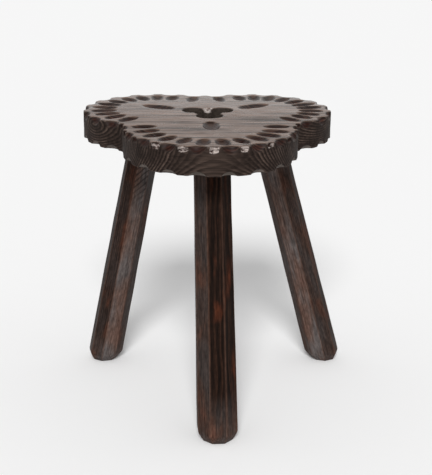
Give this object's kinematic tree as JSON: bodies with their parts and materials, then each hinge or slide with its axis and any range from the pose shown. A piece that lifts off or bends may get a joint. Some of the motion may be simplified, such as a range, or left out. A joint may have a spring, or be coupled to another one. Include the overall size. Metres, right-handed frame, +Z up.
{
  "type": "three-legged stool",
  "caption": "Low staked wooden stool: thick lobed plank seat with a gouge-carved rim and a pierced trefoil hand hole, on splayed eight-sided legs held by wedged blind tenons.",
  "frame": {"origin": "on the floor, under the middle of the stool's bounding box", "axes": "+Z up out of the seat's top; the seat's front lobe and the front leg point to -Y; the seat's grain runs along X"},
  "size_m": [0.408, 0.3538, 0.43],
  "materials": {
    "stained_pine_seat": "dark-stained pine, waxed, satin on top",
    "stained_pine_leg": "dark-stained pine, rubbed to red-brown on the arrises",
    "bare_hardwood": "bare split hardwood, hidden in the joint"
  },
  "bodies": {
    "root": {"seat": "stained_pine_seat", "leg_front": "stained_pine_leg", "leg_right": "stained_pine_leg", "leg_left": "stained_pine_leg", "wedge_front": "bare_hardwood", "wedge_right": "bare_hardwood", "wedge_left": "bare_hardwood"}
  },
  "joints": []
}
